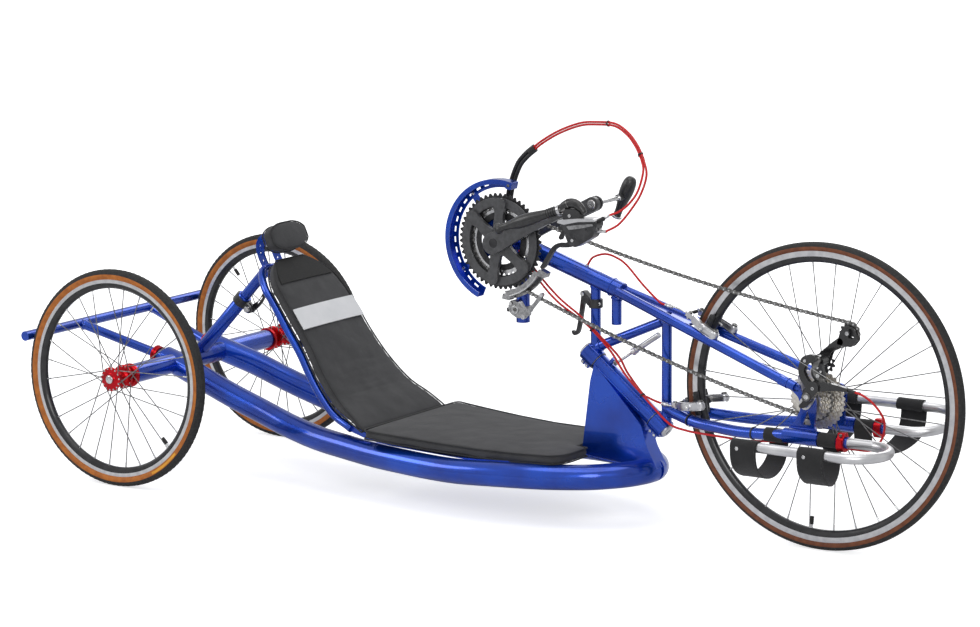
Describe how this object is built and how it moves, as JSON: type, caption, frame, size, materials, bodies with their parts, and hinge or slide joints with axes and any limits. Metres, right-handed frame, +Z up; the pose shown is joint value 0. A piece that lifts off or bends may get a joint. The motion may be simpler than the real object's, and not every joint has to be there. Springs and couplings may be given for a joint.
{
  "type": "handcycle",
  "caption": "Low three-wheeled recumbent handcycle with hand cranks, chain drive to the front wheel, padded seat, reclining back, headrest and leg slings.",
  "frame": {"origin": "centre of the bounding box on the ground plane", "axes": "+X forward towards the driven front wheel, +Y to the rider's left, +Z up"},
  "size_m": [2.2874, 0.6916, 0.9049],
  "materials": {
    "frame_paint": "candy blue gloss paint",
    "tyre": "black tread with tan sidewalls",
    "wheel_metal": "silver rims and spokes on red hubs",
    "red_anodised": "red anodised, satin",
    "bare_metal": "satin silver",
    "black_metal": "satin black",
    "black_plastic": "matt black",
    "cushion_cloth": "charcoal mesh cloth over foam",
    "strap_cloth": "black webbing",
    "grip_rubber": "soft black rubber",
    "cable_housing": "black cable housing",
    "red_housing": "red cable housing"
  },
  "bodies": {
    "frame": {"left_main_tube": "frame_paint", "right_main_tube": "frame_paint", "rear_axle_tube": "frame_paint", "left_stub_axle": "red_anodised", "right_stub_axle": "red_anodised", "rear_guard": "frame_paint", "head_box": "frame_paint", "seat_pan": "frame_paint", "seat_cushion": "cushion_cloth", "strut_tube": "frame_paint", "strut_clamp": "black_metal"},
    "front_fork": {"steerer": "bare_metal", "boom": "frame_paint", "front_post": "frame_paint", "left_upper_stay": "frame_paint", "right_upper_stay": "frame_paint", "left_lower_stay": "frame_paint", "right_lower_stay": "frame_paint", "front_axle": "bare_metal", "left_leg_tube": "bare_metal", "right_leg_tube": "bare_metal", "left_leg_clamp": "red_anodised", "right_leg_clamp": "red_anodised", "left_rear_sling": "strap_cloth", "right_rear_sling": "strap_cloth", "left_front_sling": "strap_cloth", "right_front_sling": "strap_cloth", "chain": "bare_metal", "chain_guard": "frame_paint", "rear_derailleur": "black_plastic", "front_derailleur": "bare_metal", "hand_cables": "red_housing", "upper_brake_cable": "red_housing", "lower_cables": "red_housing"},
    "front_wheel": {"front_tyre": "tyre", "front_wheel": "wheel_metal"},
    "left_rear_wheel": {"left_rear_tyre": "tyre", "left_rear_wheel": "wheel_metal"},
    "right_rear_wheel": {"right_rear_tyre": "tyre", "right_rear_wheel": "wheel_metal"},
    "cranks": {"crankset": "black_metal", "left_crank": "black_metal"},
    "cassette": {"cassette": "bare_metal"},
    "left_handle": {"left_grip": "grip_rubber"},
    "right_handle": {"right_grip": "grip_rubber", "shifter_pod": "black_plastic"},
    "brake_lever": {"brake_lever": "black_metal"},
    "shift_lever": {"shift_lever": "black_plastic"},
    "parking_lever": {"parking_lever": "black_metal"},
    "upper_left_arm": {"upper_left_brake_arm": "bare_metal"},
    "upper_right_arm": {"upper_right_brake_arm": "bare_metal"},
    "lower_left_arm": {"lower_left_brake_arm": "bare_metal"},
    "lower_right_arm": {"lower_right_brake_arm": "bare_metal"},
    "backrest": {"back_frame": "frame_paint", "back_cushion": "cushion_cloth", "headrest_bracket": "black_metal", "headrest_pad": "cushion_cloth"},
    "strut_rod": {"strut_inner_tube": "frame_paint"},
    "strut_lever": {"strut_lever": "black_metal"},
    "damper": {"steering_damper": "bare_metal"}
  },
  "joints": [
    {"name": "steer", "type": "hinge", "parent": "frame", "child": "front_fork", "pos_m": [0.22977, 0, 0.368], "axis": [0.7852, 0, -0.6192], "range_deg": [-18, 18], "stiffness_Nm_per_rad": 60},
    {"name": "front_wheel_spin", "type": "hinge", "parent": "front_fork", "child": "front_wheel", "pos_m": [0.80877, 0, 0.33496], "axis": [0, 1, 0], "continuous": true},
    {"name": "left_rear_wheel_spin", "type": "hinge", "parent": "frame", "child": "left_rear_wheel", "pos_m": [-0.87423, 0.31507, 0.25419], "axis": [0, 0.9997, 0.0253], "continuous": true},
    {"name": "right_rear_wheel_spin", "type": "hinge", "parent": "frame", "child": "right_rear_wheel", "pos_m": [-0.87423, -0.31507, 0.25419], "axis": [0, 0.9997, -0.0253], "continuous": true},
    {"name": "crank_spin", "type": "hinge", "parent": "front_fork", "child": "cranks", "pos_m": [0.01477, 0, 0.612], "axis": [0, 1, 0], "continuous": true, "deforming": ["hand_cables"]},
    {"name": "cassette_spin", "type": "hinge", "parent": "front_fork", "child": "cassette", "pos_m": [0.80877, 0, 0.33496], "axis": [0, 1, 0], "continuous": true},
    {"name": "left_handle_spin", "type": "hinge", "parent": "cranks", "child": "left_handle", "pos_m": [0.18987, 0.2, 0.6955], "axis": [0, 1, 0], "continuous": true},
    {"name": "right_handle_spin", "type": "hinge", "parent": "cranks", "child": "right_handle", "pos_m": [0.18987, -0.2, 0.6955], "axis": [0, 1, 0], "continuous": true},
    {"name": "brake_lever_pull", "type": "hinge", "parent": "right_handle", "child": "brake_lever", "pos_m": [0.30929, -0.2, 0.6653], "axis": [0, 1, 0], "range_deg": [0, 16], "stiffness_Nm_per_rad": 0.6, "springref_deg": -17.19},
    {"name": "shift_lever_press", "type": "hinge", "parent": "right_handle", "child": "shift_lever", "pos_m": [0.32297, -0.2, 0.684], "axis": [0, 1, 0], "range_deg": [0, 12], "stiffness_Nm_per_rad": 0.2, "springref_deg": -17.19},
    {"name": "parking_lever_pull", "type": "hinge", "parent": "front_fork", "child": "parking_lever", "pos_m": [0.20877, 0, 0.505], "axis": [0, 1, 0], "range_deg": [0, 24]},
    {"name": "upper_left_arm_turn", "type": "hinge", "parent": "front_fork", "child": "upper_left_arm", "pos_m": [0.56367, 0.042, 0.45292], "axis": [0.4337, 0, 0.9011], "range_deg": [0, 2.4]},
    {"name": "upper_right_arm_turn", "type": "hinge", "parent": "front_fork", "child": "upper_right_arm", "pos_m": [0.56367, -0.042, 0.45292], "axis": [0.4337, 0, 0.9011], "range_deg": [-2.4, 0]},
    {"name": "lower_left_arm_turn", "type": "hinge", "parent": "front_fork", "child": "lower_left_arm", "pos_m": [0.53665, 0.053, 0.29527], "axis": [-0.1444, 0, 0.9895], "range_deg": [0, 2.4]},
    {"name": "lower_right_arm_turn", "type": "hinge", "parent": "front_fork", "child": "lower_right_arm", "pos_m": [0.53665, -0.053, 0.29527], "axis": [-0.1444, 0, 0.9895], "range_deg": [-2.4, 0]},
    {"name": "backrest_recline", "type": "hinge", "parent": "frame", "child": "backrest", "pos_m": [-0.27723, 0, 0.151], "axis": [0, 1, 0], "range_deg": [0, 7.5]},
    {"name": "strut_slide", "type": "slide", "parent": "frame", "child": "strut_rod", "axis": [0.6876, 0, 0.726], "range_m": [0, 0.068]},
    {"name": "strut_lever_turn", "type": "hinge", "parent": "frame", "child": "strut_lever", "pos_m": [-0.72343, 0, 0.38315], "axis": [0, 1, 0], "range_deg": [0, 80]},
    {"name": "damper_swing", "type": "hinge", "parent": "frame", "child": "damper", "pos_m": [0.29077, 0, 0.3557], "axis": [0.7852, 0, -0.6192], "range_deg": [-23, 23]}
  ],
  "couplings": [
    {"joint": "cassette_spin", "follows": "crank_spin", "ratio": 2.737},
    {"joint": "upper_left_arm_turn", "follows": "brake_lever_pull", "ratio": 0.15},
    {"joint": "upper_right_arm_turn", "follows": "brake_lever_pull", "ratio": -0.15},
    {"joint": "lower_left_arm_turn", "follows": "parking_lever_pull", "ratio": 0.1},
    {"joint": "lower_right_arm_turn", "follows": "parking_lever_pull", "ratio": -0.1},
    {"joint": "strut_slide", "follows": "backrest_recline", "m_per_rad": 0.514},
    {"joint": "damper_swing", "follows": "steer", "ratio": 1.2205}
  ]
}
